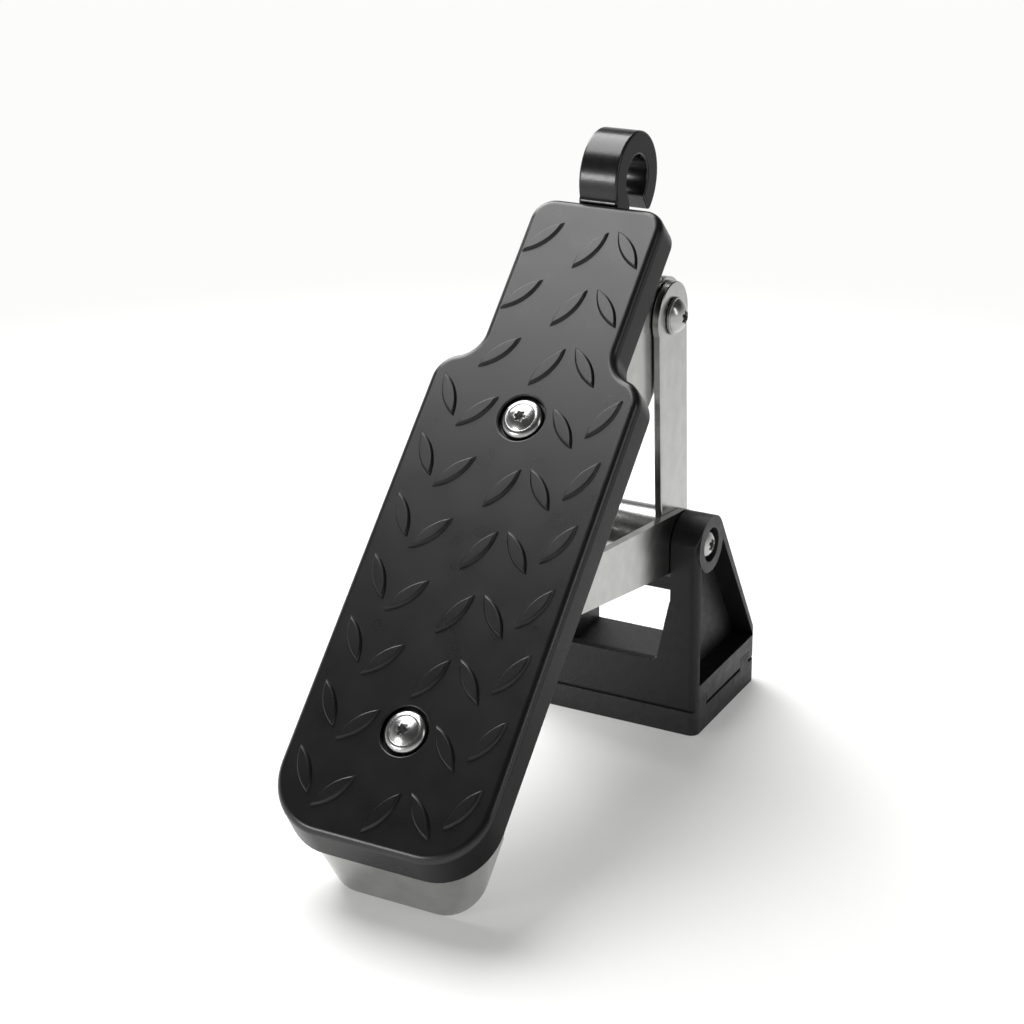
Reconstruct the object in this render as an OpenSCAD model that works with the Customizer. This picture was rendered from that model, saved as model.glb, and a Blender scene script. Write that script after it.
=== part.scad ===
// Folding step that hangs on a car door latch.
// Every pedal piece is drawn in the pedal frame: x across, y up along the
// pad, z out of the tread face. place_pedal() then leans it back.

/* [Pad] */
// Width of the pad across the lower body
pad_w = 70; // [64:1:80]
// Width of the pad across the neck
neck_w = 45; // [42:1:52]
// Length of the pad without the hook
pad_len = 211.5; // [205:0.5:220]
// Length of the neck, from the top end to where the shoulder starts
neck_len = 49; // [44:1:54]
// Length of the shoulder curve between neck and body
shoulder_len = 17; // [13:1:20]
// Thickness of the pad
pad_t = 11.3; // [10:0.1:13]
// Corner radius at the lower end of the pad
low_corner_r = 18.5; // [12:0.5:22]
// Corner radius at the top of the neck
top_corner_r = 7.5; // [4:0.5:10]
// Radius of the rounded rim round the tread face
rim_r = 2.6; // [1.5:0.1:3.5]
// How far the lower end wall leans out at its base
end_lean = 2.5; // [0:0.5:3]

/* [Tread] */
// Distance from one row of lugs to the next
row_pitch = 20.4; // [19.6:0.1:21]
// Length of one leaf-shaped lug on the tread face
lug_len = 16; // [12:0.5:17]
// Width of one lug
lug_w = 4.8; // [3.5:0.1:5.5]
// Height of one lug above the tread face
lug_h = 0.9; // [0.5:0.1:1.4]

/* [Tread screws] */
// Distance of the lower tread screw from the lower end of the pad
low_screw_s = 35.2; // [33:0.1:37]
// Distance between the two tread screws
tread_screw_gap = 100.9; // [98:0.1:103]
// Thread diameter of the tread screws
tread_screw_d = 5; // [4:0.5:6]
// Outer diameter of the cup washers
cup_d = 13.5; // [12:0.5:14.5]
// Height of the cup washers
cup_h = 2.7; // [2.2:0.1:3]
// Diameter of the recess that holds a cup washer
cup_recess_d = 15; // [14.6:0.1:16]
// Depth of that recess
cup_recess = 2.2; // [1.5:0.1:2.6]

/* [Hook] */
// Outer radius of the hook
hook_r = 14; // [13:0.5:16]
// Radius of the hook throat, which takes the latch striker
throat_r = 7.4; // [6:0.1:8]
// Width of the hook
hook_w = 13.2; // [11:0.2:15]
// Sideways place of the hook
hook_x = -2; // [-3:0.5:2]
// Distance from the pad end to the centre of the hook
hook_reach = 14.5; // [13:0.5:18]
// Depth of the hook centre below the tread face
hook_drop = 8; // [7:0.5:9]
// Thickness of the tang that enters the pad
tang_t = 9.4; // [8.6:0.1:9.8]
// Length of the tang inside the pad
tang_len = 22; // [18:0.5:23]
// Shank diameter of the hook rivets
rivet_d = 4; // [3:0.5:5]

/* [Sheet metal] */
// Sheet thickness of the pan
pan_t = 1.8; // [1.2:0.1:2]
// Depth of the pan nose below the pad
nose_depth = 20.7; // [18:0.1:23]
// Depth of the pan along the sides
side_depth = 7.7; // [6:0.1:8.5]
// Width across the bottom rim of the nose
nose_w = 51; // [46:1:55]
// How far the nose rim stands out past the lower end of the pad
nose_out = 6.8; // [5:0.1:9]
// Width over the outside of the hinge channel
channel_w = 38.4; // [36:0.2:38.6]
// Sheet thickness of the hinge channel
channel_t = 2.2; // [1.8:0.1:2.4]
// Radius of the channel ear round the upper axle
ear_r = 16; // [14:0.5:16.5]
// Depth of the channel walls below the line of the slide slot
rail_h = 6.6; // [6:0.1:7]

/* [Linkage] */
// Lean of the pedal against the floor in degrees
lean = 44.8; // [44:0.1:46]
// Distance of the upper axle from the top end of the pad
axle_s = 20; // [19:0.5:21]
// Depth of the upper axle below the tread face
axle_n = 29.5; // [29:0.1:31]
// Distance between the axles of strut and link
arm_len = 76.3; // [75:0.1:78]
// Angle between strut and pad when the step stands
strut_angle = 48; // [47:0.5:49]
// Slope of the slide slot against the pad
slot_slope = 2.7; // [2:0.1:3]
// How far the strut folds, in degrees
fold = 45; // [40:1:46]
// Width of the strut bars
strut_w = 20; // [17:0.5:21]
// Head radius of the strut bars
strut_head_r = 10.8; // [10:0.1:12]
// Foot radius of the strut bars
strut_foot_r = 10.5; // [9:0.1:11]
// Thickness of strut bars and link flanges
bar_t = 2.5; // [2:0.1:2.6]
// Radius of the link flanges round the lower axle
link_r = 10; // [9:0.1:10.5]
// Radius of the link flanges round the slide pin
link_tip_r = 8; // [7:0.1:8.4]
// Diameter of the axle screws
axle_d = 6; // [5:0.5:6.5]
// Diameter of the slide pin
slide_d = 5; // [4:0.5:5.5]
// Outer diameter of the lower axle tube
low_tube_d = 19; // [16:0.5:19.5]
// Outer diameter of the upper axle tube
top_tube_d = 12; // [10:0.5:13]
// Diameter of the button heads
button_d = 11; // [9:0.5:12]
// Height of the button heads
button_h = 3; // [2:0.1:3.3]

/* [Foot] */
// Width of the foot
foot_w = 70; // [66:1:76]
// Length of the foot from front to back
foot_len = 50; // [46:1:56]
// Radius of the foot ears round the lower axle
foot_ear_r = 9.8; // [9:0.1:11]
// Width of each ear with its side pocket
ear_w = 10; // [8.6:0.2:11]
// Wall thickness of the foot
foot_wall = 2.5; // [2:0.1:3]
// Height of the straight sides of the foot above the floor
side_h = 17; // [15:0.5:20]
// Height of the lower edge of the front window above the floor
window_z = 25; // [21:0.5:30]
// Height of the base plate above the floor
plate_z = 13; // [11:0.5:14]
// Thickness of the rubber sole
sole_t = 8.5; // [6:0.5:9]
// Height of the sole tabs above the sole
tab_h = 4.2; // [2:0.2:5]

/* [Clearances] */
// Gap between flat faces that turn on each other
face_gap = 0.2; // [0.15:0.05:0.3]
// Radial clearance of a pin in its hole
bore_gap = 0.08; // [0.05:0.01:0.1]
// Gap between pieces that are fixed together
seat_gap = 0.05; // [0.02:0.01:0.1]

/* [Hidden] */
$fn = 64;
e = 0.01;

// Stations along the pedal frame. Its origin lies on the tread face at the
// last row of lugs.
pad_s0 = -17.5;
pad_s1 = pad_s0 + pad_len;
neck_s = pad_s1 - neck_len;
body_s = neck_s - shoulder_len;
plate_n = -pad_t;
web_top_n = plate_n - pan_t;
web_n = web_top_n - channel_t;
screw_s = [pad_s0 + low_screw_s, pad_s0 + low_screw_s + tread_screw_gap];

// Widths from the middle out
channel_out = channel_w / 2;
channel_in = channel_out - channel_t;
strut_in = channel_out + face_gap + 0.1;
strut_out = strut_in + bar_t;
link_in = strut_out + face_gap;
link_out = link_in + bar_t;
foot_out = foot_w / 2;
foot_in = max(foot_out - ear_w, link_out + face_gap + 0.1);

// Pivots in the pedal frame: a upper axle, c lower axle, d slide pin
a_s = pad_s1 - axle_s;
a_n = -axle_n;
c_s = a_s - arm_len * cos(strut_angle);
c_n = a_n - arm_len * sin(strut_angle);
slide_reach = 2 * arm_len * cos(strut_angle + slot_slope);
d_s = a_s - slide_reach * cos(slot_slope);
d_n = a_n + slide_reach * sin(slot_slope);
folded_reach = 2 * arm_len * cos(strut_angle + slot_slope - fold);
dz_s = a_s - folded_reach * cos(slot_slope);
dz_n = a_n + folded_reach * sin(slot_slope);
cz_s = a_s - arm_len * cos(strut_angle - fold);
cz_n = a_n - arm_len * sin(strut_angle - fold);

// The nose rim stands on the floor and sets the height of the pedal frame
rim_s = pad_s0 - nose_out;
rim_n = plate_n - nose_depth;
lift = -(rim_s * sin(lean) + rim_n * cos(lean));
c_y0 = c_s * cos(lean) - c_n * sin(lean);
foot_y0 = c_y0 - foot_ear_r;
front_y = (pad_s0 + rim_r) * cos(lean) + rim_r * sin(lean) - rim_r;
back = -(front_y + foot_y0 + foot_len) / 2;
a_y = a_s * cos(lean) - a_n * sin(lean) + back;
a_z = a_s * sin(lean) + a_n * cos(lean) + lift;
c_y = c_y0 + back;
c_z = c_s * sin(lean) + c_n * cos(lean) + lift;
d_y = d_s * cos(lean) - d_n * sin(lean) + back;
d_z = d_s * sin(lean) + d_n * cos(lean) + lift;
link_rise = atan2(d_z - c_z, c_y - d_y);

black_c = "#1b1b1c";
rubber_c = "#141414";
steel_c = "#a9a9a8";
bright_c = "#d4d5d6";

module place_pedal() { translate([0, back, lift]) rotate([lean, 0, 0]) children(); }
module mirror_pair() { children(); mirror([1, 0, 0]) children(); }

// A cylinder along x from x0 to x1
module rod(x0, x1, r) { translate([x0, 0, 0]) rotate([0, 90, 0]) cylinder(r = r, h = x1 - x0); }

// A flat outline in the y-z plane, given thickness from x0 to x1
module side_plate(x0, x1) {
    translate([x0, 0, 0]) rotate([90, 0, 90]) linear_extrude(x1 - x0) children();
}

function arc(c, r, a0, a1, n) = [for (i = [0:n]) let (t = a0 + (a1 - a0) * i / n)
    [c[0] + r * cos(t), c[1] + r * sin(t)]];
function mirrored(p) = [for (i = [len(p) - 1:-1:0]) [-p[i][0], p[i][1]]];

// Skin over rings of points that all have the same count
module loft(rings) {
    m = len(rings[0]);
    k = len(rings);
    polyhedron(
        points = [for (ring = rings) for (p = ring) p],
        faces = concat(
            [[for (i = [0:m - 1]) i]],
            [for (j = [0:k - 2]) for (i = [0:m - 1])
                [j * m + i, (j + 1) * m + i, (j + 1) * m + (i + 1) % m, j * m + (i + 1) % m]],
            [[for (i = [m - 1:-1:0]) (k - 1) * m + i]]));
}

// Outline of the pad, drawn in by inset, with its lower end at s0
function pad_half(inset, s0) = let (
    out = pad_w / 2,
    inn = neck_w / 2,
    dx = out - inn,
    r = (shoulder_len * shoulder_len + dx * dx) / (4 * dx),
    turn = 2 * atan(dx / shoulder_len))
    concat(
        arc([out - low_corner_r, s0 + low_corner_r], low_corner_r - inset, -90, 0, 10),
        arc([out - r, body_s], r - inset, 0, turn, 6),
        arc([inn + r, neck_s], r + inset, 180 + turn, 180, 6),
        arc([inn - top_corner_r, pad_s1 - top_corner_r], top_corner_r - inset, 0, 90, 6));
function pad_ring(inset, s0, n) = let (half = pad_half(inset, s0))
    [for (p = concat(half, mirrored(half))) [p[0], p[1], n]];

// One leaf-shaped lug, as rings of a leaf that shrinks as it rises
function leaf(scale_w, n) = let (
    half = lug_len / 2,
    side = lug_w / 2,
    r = (half * half + side * side) / (2 * side),
    a = asin(half / r),
    right = arc([side - r, 0], r, -a, a - a / 3, 5))
    [for (p = concat(right, [for (q = right) -q]))
        [p[0] * scale_w, p[1] * (1 - (1 - scale_w) * lug_w / lug_len), n]];
module lug() {
    loft([leaf(1, -0.4), leaf(1, 0.15), leaf(0.8, lug_h * 0.75), leaf(0.45, lug_h)]);
}

// Lug columns: place across, shift in rows, turn, first row
LUG_COLUMNS = [[-26, 0, 30, 4], [-14.8, 0.2, -42, 1], [2.2, 0.32, -30, 1],
    [14.2, 0.24, 40, 1], [26, 0, -29, 4]];
module lugs() {
    for (col = LUG_COLUMNS) for (row = [col[3]:10]) {
        s = (10 - row - col[1]) * row_pitch;
        near = min([for (t = screw_s) norm([col[0], s - t])]);
        if (near > cup_recess_d / 2) translate([col[0], s, 0]) rotate([0, 0, col[2]]) lug();
    }
}

module tread_pad() {
    color(black_c) place_pedal() difference() {
        union() {
            loft(concat(
                [pad_ring(0.6, pad_s0 - end_lean, plate_n),
                    pad_ring(0, pad_s0 - end_lean, plate_n + 0.6)],
                [for (i = [0:5]) let (t = 90 * i / 5)
                    pad_ring(rim_r * (1 - cos(t)), pad_s0, -rim_r * (1 - sin(t)))]));
            neck_land();
            lugs();
        }
        for (s = screw_s) translate([0, s, 0]) {
            translate([0, 0, -cup_recess]) cylinder(d = cup_recess_d, h = cup_recess + 2);
            translate([0, 0, plate_n - 5]) cylinder(d = tread_screw_d + 0.4, h = pad_t + 6);
        }
        translate([hook_x - hook_w / 2 - 0.2, pad_s1 - tang_len - 0.2, web_top_n - 1])
            cube([hook_w + 0.4, tang_len + 5, tang_t + 1.2]);
    }
}

// Land under the neck that bears on the hinge channel
module neck_land() {
    land_w = channel_w - 1;
    land_s = pan_s1 + 0.4;
    translate([-land_w / 2, land_s, web_top_n])
        cube([land_w, pad_s1 - land_s - 4, pan_t + 1]);
}

// Pan under the pad body: shallow along the sides and deep at the nose
pan_s1 = body_s - 2;
pan_half = pad_w / 2 - 4;
side_end = 16;
function pan_ring(inset, n) = let (
    k = (plate_n - n) / nose_depth,
    half = pan_half - k * (pan_half - nose_w / 2) - inset,
    s0 = pad_s0 - 0.5 - k * (nose_out - 0.5) + inset,
    r = 16 - 4 * k - inset,
    side = concat(
        arc([half - r, s0 + r], r, -90, 0, 8),
        arc([half - 4, pan_s1 - 4 - inset], 4, 0, 90, 3)))
    [for (p = concat(side, mirrored(side))) [p[0], p[1], n]];
module frame_pan() {
    color(steel_c) place_pedal() difference() {
        loft([pan_ring(0, rim_n), pan_ring(0, plate_n - 3),
            pan_ring(0.4, plate_n - 0.9), pan_ring(1.4, plate_n)]);
        loft([pan_ring(pan_t, rim_n - 1), pan_ring(pan_t, plate_n - pan_t - 1.2),
            pan_ring(pan_t + 1, web_top_n)]);
        // Below this line the side walls are cut away for the linkage
        side_plate(-pad_w, pad_w) polygon([
            [side_end - 14, rim_n - 5],
            [side_end - 14, rim_n + 1],
            [side_end, plate_n - side_depth - 1],
            [side_end + 2, plate_n - side_depth],
            [pan_s1 + 5, plate_n - side_depth],
            [pan_s1 + 5, rim_n - 5]]);
        translate([-channel_out - 4, pan_s1 - 12, rim_n])
            cube([channel_w + 8, 20, web_top_n - rim_n]);
        for (s = screw_s) translate([0, s, rim_n]) cylinder(d = tread_screw_d + 0.4, h = 40);
    }
}

// Folded channel that carries the axle and guides the slide pin
channel_s0 = 8;
slot_r = slide_d / 2 + bore_gap + 0.07;
function channel_half() = concat(
    [[channel_out, -60]],
    arc([channel_out - 3, web_top_n - 3], 3, 0, 90, 6));
function channel_inner() = concat(
    [[channel_in, -61]],
    arc([channel_in - 1, web_n - 1], 1, 0, 90, 3));
module channel_profile() {
    edge = rail_h / cos(slot_slope);
    slope = tan(slot_slope);
    reach_s = a_s - (channel_s0 + 3);
    notch_s = cz_s + low_tube_d / 2 + 2;
    difference() {
        union() {
            polygon(concat(
                [[channel_s0, web_top_n + 1],
                    [channel_s0, a_n + slope * reach_s - edge + 3],
                    [channel_s0 + 3, a_n + slope * reach_s - edge],
                    [notch_s, a_n + slope * (a_s - notch_s) - edge],
                    [notch_s + 6, a_n - ear_r + 7],
                    [a_s, a_n - ear_r]],
                arc([a_s, a_n], ear_r, -90, 0, 12),
                [[a_s + ear_r, web_top_n + 1]]));
        }
        // Relief for the lower axle tube when the step is folded
        translate([cz_s, cz_n]) circle(r = low_tube_d / 2 + 1);
        translate([cz_s - low_tube_d / 2 - 1, cz_n - 40]) square([low_tube_d + 3, 40]);
    }
}
module hinge_channel() {
    color(steel_c) place_pedal() difference() {
        intersection() {
            rotate([90, 0, 0]) translate([0, 0, -pad_s1]) linear_extrude(pad_len)
                difference() {
                    polygon(concat(channel_half(), mirrored(channel_half())));
                    polygon(concat(channel_inner(), mirrored(channel_inner())));
                }
            side_plate(-channel_out - 1, channel_out + 1) channel_profile();
        }
        translate([0, a_s, a_n]) rod(-channel_out - 1, channel_out + 1, axle_d / 2 + seat_gap);
        slot_cut();
        for (s = screw_s) translate([0, s, rim_n]) cylinder(d = tread_screw_d + 0.4, h = 40);
        for (s = rivet_s) translate([hook_x, s, rim_n]) cylinder(d = rivet_d + 2 * seat_gap, h = 40);
    }
}
// The slot that the slide pin runs in
module slot_cut() {
    run = folded_reach - slide_reach + 1;
    translate([0, d_s, d_n]) rotate([-slot_slope, 0, 0]) translate([0, 0.5, 0]) {
        rod(-channel_out - 1, channel_out + 1, slot_r);
        translate([-channel_out - 1, -run, -slot_r])
            cube([channel_w + 2, run, 2 * slot_r]);
        translate([0, -run, 0]) rod(-channel_out - 1, channel_out + 1, slot_r);
    }
}

// Hook: an open ring on a tang, with rounded edges
hook_s = pad_s1 + hook_reach;
hook_n = -hook_drop;
edge_r = 1.2;
tip_angle = 8;
rivet_s = [pad_s1 - tang_len + 6, pad_s1 - tang_len + 15];
module ring_section() {
    w = hook_w - 2 * edge_r;
    t = hook_r - throat_r;
    translate([throat_r, -hook_w / 2]) {
        translate([edge_r, 0]) square([t - 2 * edge_r, hook_w]);
        translate([0, edge_r]) square([t, w]);
        for (x = [edge_r, t - edge_r]) for (y = [edge_r, hook_w - edge_r])
            translate([x, y]) circle(r = edge_r, $fn = 32);
    }
}
module hook() {
    tang_n = web_top_n;
    color(black_c) place_pedal() difference() {
        translate([hook_x, 0, 0]) union() {
            translate([0, hook_s, hook_n]) rotate([0, 90, 0]) rotate([0, 0, -tip_angle])
                rotate_extrude(angle = 240 + tip_angle) ring_section();
            translate([0, hook_s, hook_n]) tip();
            stem();
            translate([-hook_w / 2, pad_s1 - tang_len, tang_n])
                cube([hook_w, tang_len - 1, tang_t]);
        }
        for (s = rivet_s) translate([hook_x, s, tang_n - 1]) cylinder(d = rivet_d + 2 * seat_gap, h = 7);
    }
}
// Straight part between the tang and the ring
module stem() {
    side_plate(-hook_w / 2, hook_w / 2) difference() {
        polygon([
            [pad_s1 - 2, web_top_n],
            [pad_s1 + 1, web_top_n],
            [hook_s - throat_r - 1.8, hook_n - 2],
            [hook_s - throat_r - 0.9, hook_n - 1.6],
            [hook_s - throat_r * 0.8, hook_n + throat_r * 0.4],
            [hook_s - hook_r * 0.5, hook_n + hook_r * 0.62],
            [hook_s - hook_r * 0.87, hook_n + hook_r * 0.49],
            [pad_s1 + 0.6, -1.4],
            [pad_s1 + 0.3, web_top_n + tang_t],
            [pad_s1 - 2, web_top_n + tang_t]]);
        translate([hook_s, hook_n]) circle(r = throat_r);
    }
}
// Rounded end of the hook beside its mouth
module tip() {
    mid = (hook_r + throat_r) / 2;
    t = hook_r - throat_r;
    rotate([tip_angle, 0, 0]) translate([0, 0, -mid]) rod(-hook_w / 2 + 0.8, hook_w / 2 - 0.8, t / 2 - 0.2);
}
module hook_rivets() {
    head_h = 1.8;
    color(steel_c) place_pedal() for (s = rivet_s) translate([hook_x, s, 0]) {
        translate([0, 0, web_n]) cylinder(d = rivet_d, h = channel_t + 5.8);
        translate([0, 0, web_n - head_h]) intersection() {
            cylinder(d = rivet_d * 1.8, h = head_h);
            translate([0, 0, head_h * 1.35]) sphere(r = head_h * 2.2);
        }
    }
}

// Six-lobe socket, cut down from z = 0
module six_lobe(d, depth) {
    translate([0, 0, -depth]) {
        cylinder(d = d * 0.72, h = depth + 2);
        for (i = [0:5]) rotate([0, 0, 60 * i]) translate([d * 0.36, 0, 0])
            cylinder(d = d * 0.27, h = depth + 2, $fn = 24);
    }
}
// Domed finishing washer with a rolled lip that takes the screw head
module cup_washer(s) {
    r = cup_d / 2;
    edge = 0.5;
    lip = tread_screw_d * 0.9;
    bore = tread_screw_d / 2 + 0.3;
    color(bright_c) place_pedal() translate([0, s, -cup_recess])
        rotate_extrude($fn = 72) polygon(concat(
            [[bore, 0], [r - 0.1, 0]],
            [for (t = [0:15:90]) [lip + (r - lip) * cos(t), edge + (cup_h - edge) * sin(t)]],
            [[lip - 0.2, cup_h * 0.9], [bore, 0.6]]));
}
// Raised countersunk screw through pad, pan and channel
module tread_screw(s) {
    head_r = tread_screw_d * 0.87;
    head_z = cup_h - cup_recess - 0.15;
    dome = 1.1;
    dome_r = (head_r * head_r + dome * dome) / (2 * dome);
    cone = 1.7;
    end_n = web_n - nut_h - 0.4;
    color(bright_c) place_pedal() translate([0, s, 0]) difference() {
        union() {
            translate([0, 0, end_n]) cylinder(d = tread_screw_d, h = head_z - end_n);
            translate([0, 0, head_z - cone])
                cylinder(r1 = tread_screw_d / 2, r2 = head_r, h = cone);
            translate([0, 0, head_z + dome - dome_r]) intersection() {
                sphere(r = dome_r);
                translate([0, 0, dome_r - dome]) cylinder(r = head_r, h = dome + 1);
            }
        }
        translate([0, 0, head_z + dome]) six_lobe(tread_screw_d * 0.78, 2.2);
    }
}
nut_h = 2.7;
module tread_nut(s) {
    color(bright_c) place_pedal() translate([0, s, web_n - nut_h]) difference() {
        cylinder(d = tread_screw_d * 1.84, h = nut_h, $fn = 6);
        translate([0, 0, -1]) cylinder(d = tread_screw_d + 2 * seat_gap, h = nut_h + 2);
    }
}

// Button head screw along +x: its head bears at seat, its shank ends at tip
module button_screw(seat, tip_x) {
    r = button_d / 2;
    cap_r = (r * r + button_h * button_h) / (2 * button_h);
    difference() {
        union() {
            rod(tip_x, seat + e, axle_d / 2);
            translate([seat, 0, 0]) rotate([0, 90, 0]) intersection() {
                translate([0, 0, button_h - cap_r]) sphere(r = cap_r);
                cylinder(r = r - 0.05, h = button_h + 1);
            }
        }
        translate([seat + button_h, 0, 0]) rotate([0, 90, 0])
            six_lobe(axle_d * 0.75, button_h * 0.75);
    }
}
module washer(x0, x1, d) {
    difference() {
        rod(x0, x1, d / 2);
        rod(x0 - 1, x1 + 1, axle_d / 2 + seat_gap);
    }
}
module at_a() { translate([0, a_y, a_z]) children(); }
module at_c() { translate([0, c_y, c_z]) children(); }
module at_d() { translate([0, d_y, d_z]) children(); }

washer_t = 1;
top_seat = strut_out + face_gap + washer_t;
low_seat = foot_out - button_h + 0.4;
module upper_axle_tube() {
    color(bright_c) at_a() difference() {
        rod(-channel_in, channel_in, top_tube_d / 2);
        rod(-channel_w, channel_w, axle_d / 2 + seat_gap);
    }
}
module upper_screw() { color(bright_c) at_a() button_screw(top_seat, channel_in - 12); }
module upper_washers() {
    color(bright_c) at_a() mirror_pair() washer(top_seat - washer_t, top_seat, button_d + 1);
}
module lower_axle_tube() {
    color(bright_c) at_c() difference() {
        rod(-strut_in, strut_in, low_tube_d / 2);
        rod(-channel_w, channel_w, axle_d / 2 + seat_gap);
        mirror_pair() rod(strut_in - 1, strut_in + 1, axle_d / 2 + 0.8);
    }
}
module lower_screw() { color(bright_c) at_c() button_screw(low_seat, strut_in - 14); }
module lower_washers() {
    color(bright_c) at_c() mirror_pair() washer(low_seat - washer_t, low_seat, button_d + 1);
}

// Flat bar from the upper to the lower axle, drawn from a down to c
module strut_bar() {
    color(steel_c) at_a() rotate([strut_turn, 0, 0]) difference() {
        union() {
            rod(strut_in, strut_out, strut_head_r);
            translate([0, 0, -arm_len]) rod(strut_in, strut_out, strut_foot_r);
            translate([strut_in, -strut_w / 2, -arm_len]) cube([bar_t, strut_w, arm_len]);
        }
        rod(strut_in - 1, strut_out + 1, axle_d / 2 + bore_gap);
        translate([0, 0, -arm_len]) rod(strut_in - 1, strut_out + 1, axle_d / 2 + seat_gap);
    }
}
strut_turn = atan2(c_y - a_y, a_z - c_z);

// U-shaped link from the lower axle to the slide pin, with its web below
web_from_c = low_tube_d / 2 + 5;
web_from_d = link_tip_r + 5;
module link_channel() {
    taper = asin((link_r - link_tip_r) / arm_len);
    color(steel_c) at_c() rotate([-link_rise, 0, 0]) difference() {
        union() {
            mirror_pair() side_plate(link_in, link_out) {
                circle(r = link_r);
                translate([-arm_len, 0]) circle(r = link_tip_r);
                polygon([
                    [-link_r * sin(taper), link_r * cos(taper)],
                    [-arm_len - link_tip_r * sin(taper), link_tip_r * cos(taper)],
                    [-arm_len - link_tip_r * sin(taper), -link_tip_r * cos(taper)],
                    [-link_r * sin(taper), -link_r * cos(taper)]]);
            }
            side_plate(-link_in - e, link_in + e) polygon([
                [-web_from_c, web_level(web_from_c)],
                [-web_from_c, web_level(web_from_c) + bar_t],
                [-arm_len + web_from_d, web_level(arm_len - web_from_d) + bar_t],
                [-arm_len + web_from_d, web_level(arm_len - web_from_d)]]);
        }
        rod(-link_out - 1, link_out + 1, axle_d / 2 + bore_gap);
        translate([0, -arm_len, 0]) rod(-link_out - 1, link_out + 1, slide_d / 2 + seat_gap);
    }
}
function web_level(along) = -link_r + (link_r - link_tip_r) * along / arm_len;

clip_t = 0.8;
module slide_pin() {
    end = link_out + 1.4;
    color(bright_c) at_d() difference() {
        rod(-end, end, slide_d / 2);
        mirror_pair() difference() {
            rod(link_out + 0.15, link_out + 0.15 + clip_t + 0.1, slide_d);
            rod(link_out, link_out + 2, slide_d / 2 - 0.4);
        }
    }
}
module slide_bushes() {
    color(bright_c) at_d() mirror_pair() difference() {
        rod(channel_out + face_gap, link_in - 0.1, slide_d / 2 + 1.8);
        rod(channel_out, link_in, slide_d / 2 + seat_gap);
    }
}
module slide_clips() {
    color(steel_c) at_d() mirror_pair() difference() {
        rod(link_out + 0.2, link_out + 0.2 + clip_t, slide_d / 2 + 1.5);
        rod(link_out, link_out + 2, slide_d / 2 - 0.35);
        translate([link_out, -0.9, -slide_d]) cube([2, 1.8, slide_d]);
    }
}

// Foot frame: y from the front face of the foot, z from the floor
foot_y = c_y - foot_ear_r;
ear_z = c_z;
module at_foot() { translate([0, foot_y, 0]) children(); }
function tangent_angle(inset) = let (
    v = [foot_len - inset - foot_ear_r, side_h + inset * 0.4 - ear_z],
    d = norm(v))
    atan2(v[1], v[0]) + acos((foot_ear_r - inset) / d);
// Side view of the foot: straight front, round top, sloping back
module ear_outline(inset, low) {
    r = foot_ear_r - inset;
    t = tangent_angle(inset);
    translate([foot_ear_r, ear_z]) circle(r = r);
    polygon([
        [inset, low],
        [foot_len - inset, low],
        [foot_len - inset, side_h + inset * 0.4],
        [foot_ear_r + r * cos(t), ear_z + r * sin(t)],
        [foot_ear_r, ear_z],
        [inset, ear_z]]);
}
// Sole tabs: start along the foot and length, one pair a side
TABS = [[1, 7.6], [foot_len - 13, 7]];
tab_t = 2.2;
module foot_bracket() {
    base_z = sole_t;
    half_bottom = foot_in - 5;
    color(black_c) at_foot() difference() {
        union() {
            mirror_pair() {
                difference() {
                    side_plate(foot_in, foot_out) ear_outline(0, base_z);
                    side_plate(foot_in + foot_wall, foot_out + 1)
                        ear_outline(foot_wall, side_h + 0.6);
                }
                translate([0, foot_ear_r, ear_z])
                    rod(foot_in, low_seat - washer_t, button_d / 2 + 1.6);
            }
            translate([-foot_in - e, 0, base_z]) cube([2 * foot_in + 2 * e, foot_len, plate_z - base_z]);
            front_wall(half_bottom);
            translate([-foot_in - e, foot_len - foot_wall, base_z])
                cube([2 * foot_in + 2 * e, foot_wall, side_h - base_z]);
            // Cross rib that ties the ears
            translate([-foot_in - e, foot_ear_r + 3, 36]) cube([2 * foot_in + 2 * e, 4, 8]);
        }
        translate([0, foot_ear_r, ear_z]) rod(-foot_w, foot_w, axle_d / 2 + bore_gap);
        mirror_pair() {
            translate([0, foot_ear_r, ear_z])
                rod(low_seat - washer_t, foot_out + 1, button_d / 2 + 0.8);
            for (tab = TABS) translate([foot_out - tab_t - 0.1, tab[0] - 0.1, base_z - 1])
                cube([tab_t + 1, tab[1] + 0.2, tab_h + 1.1]);
        }
        corner_rounds(base_z - 1, 90);
    }
}
// Front wall: a sill under the window and a cheek beside each ear
module front_wall(half_bottom) {
    cheek_z = ear_z - link_r - 8;
    translate([0, foot_wall + 0.5, 0]) rotate([90, 0, 0]) linear_extrude(foot_wall + 0.5)
        polygon([
            [-foot_in - e, sole_t],
            [foot_in + e, sole_t],
            [foot_in + e, cheek_z],
            [foot_in - 0.4, cheek_z - 1],
            [half_bottom + 0.5, window_z + 1.2],
            [half_bottom - 1, window_z],
            [-half_bottom + 1, window_z],
            [-half_bottom - 0.5, window_z + 1.2],
            [-foot_in + 0.4, cheek_z - 1],
            [-foot_in - e, cheek_z]]);
}
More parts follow.
